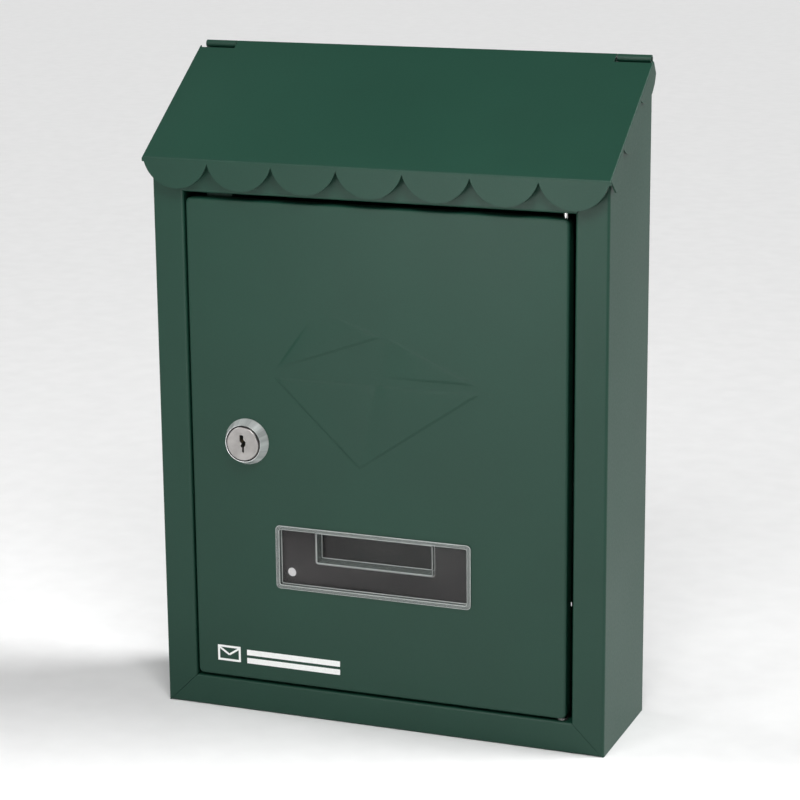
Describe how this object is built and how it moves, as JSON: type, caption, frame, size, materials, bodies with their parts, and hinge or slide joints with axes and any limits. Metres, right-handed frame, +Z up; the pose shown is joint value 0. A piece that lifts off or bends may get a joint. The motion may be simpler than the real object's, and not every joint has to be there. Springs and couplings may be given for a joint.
{
  "type": "wall mounted mailbox",
  "caption": "Sheet steel wall mailbox with a hinged scalloped roof lid, a lockable front door and a clear name window.",
  "frame": {"origin": "centre of the four wall holes, on the back face that lies against the wall", "axes": "+X to the right seen from the front, +Y into the wall, +Z up; the door faces -Y"},
  "size_m": [0.214, 0.0678, 0.299],
  "materials": {
    "painted_steel": "satin fine-textured powder coat, dark green",
    "bright_wire": "drawn bright steel",
    "clear_plastic": "clear moulded polystyrene",
    "chrome_bezel": "polished chrome plate on zinc",
    "nickel_plug": "satin nickel plate",
    "brass_wafer": "stamped brass",
    "spring_steel": "spring steel wire and strip",
    "zinc_plated": "bright zinc plate"
  },
  "bodies": {
    "case": {"case_wrap": "painted_steel", "bottom_tray": "painted_steel", "head_rail": "painted_steel", "lid_hinge_wire": "bright_wire", "door_hinge_rod": "bright_wire", "door_pivot_washer": "bright_wire"},
    "lid": {"lid": "painted_steel"},
    "door": {"door_panel": "painted_steel", "name_window": "clear_plastic", "lock_housing": "chrome_bezel", "lock_clip": "spring_steel"},
    "lock_core": {"lock_plug": "nickel_plug", "lock_stop_washer": "zinc_plated", "lock_cam": "zinc_plated", "cam_washer": "zinc_plated", "cam_screw": "zinc_plated", "lock_wafer_1": "brass_wafer", "lock_wafer_2": "brass_wafer", "lock_wafer_3": "brass_wafer", "lock_wafer_4": "brass_wafer", "lock_wafer_5": "brass_wafer", "lock_spring_1": "spring_steel", "lock_spring_2": "spring_steel", "lock_spring_3": "spring_steel", "lock_spring_4": "spring_steel", "lock_spring_5": "spring_steel"}
  },
  "joints": [
    {"name": "lid_hinge", "type": "hinge", "parent": "case", "child": "lid", "pos_m": [0, -0.00175, 0.1502], "axis": [-1, 0, 0], "range_deg": [0, 110]},
    {"name": "door_hinge", "type": "hinge", "parent": "case", "child": "door", "pos_m": [0.085, -0.058, 0], "axis": [0, 0, 1], "range_deg": [0, 100]},
    {"name": "lock_turn", "type": "hinge", "parent": "door", "child": "lock_core", "pos_m": [-0.062, -0.062, -0.019], "axis": [0, 1, 0], "range_deg": [0, 90]}
  ]
}
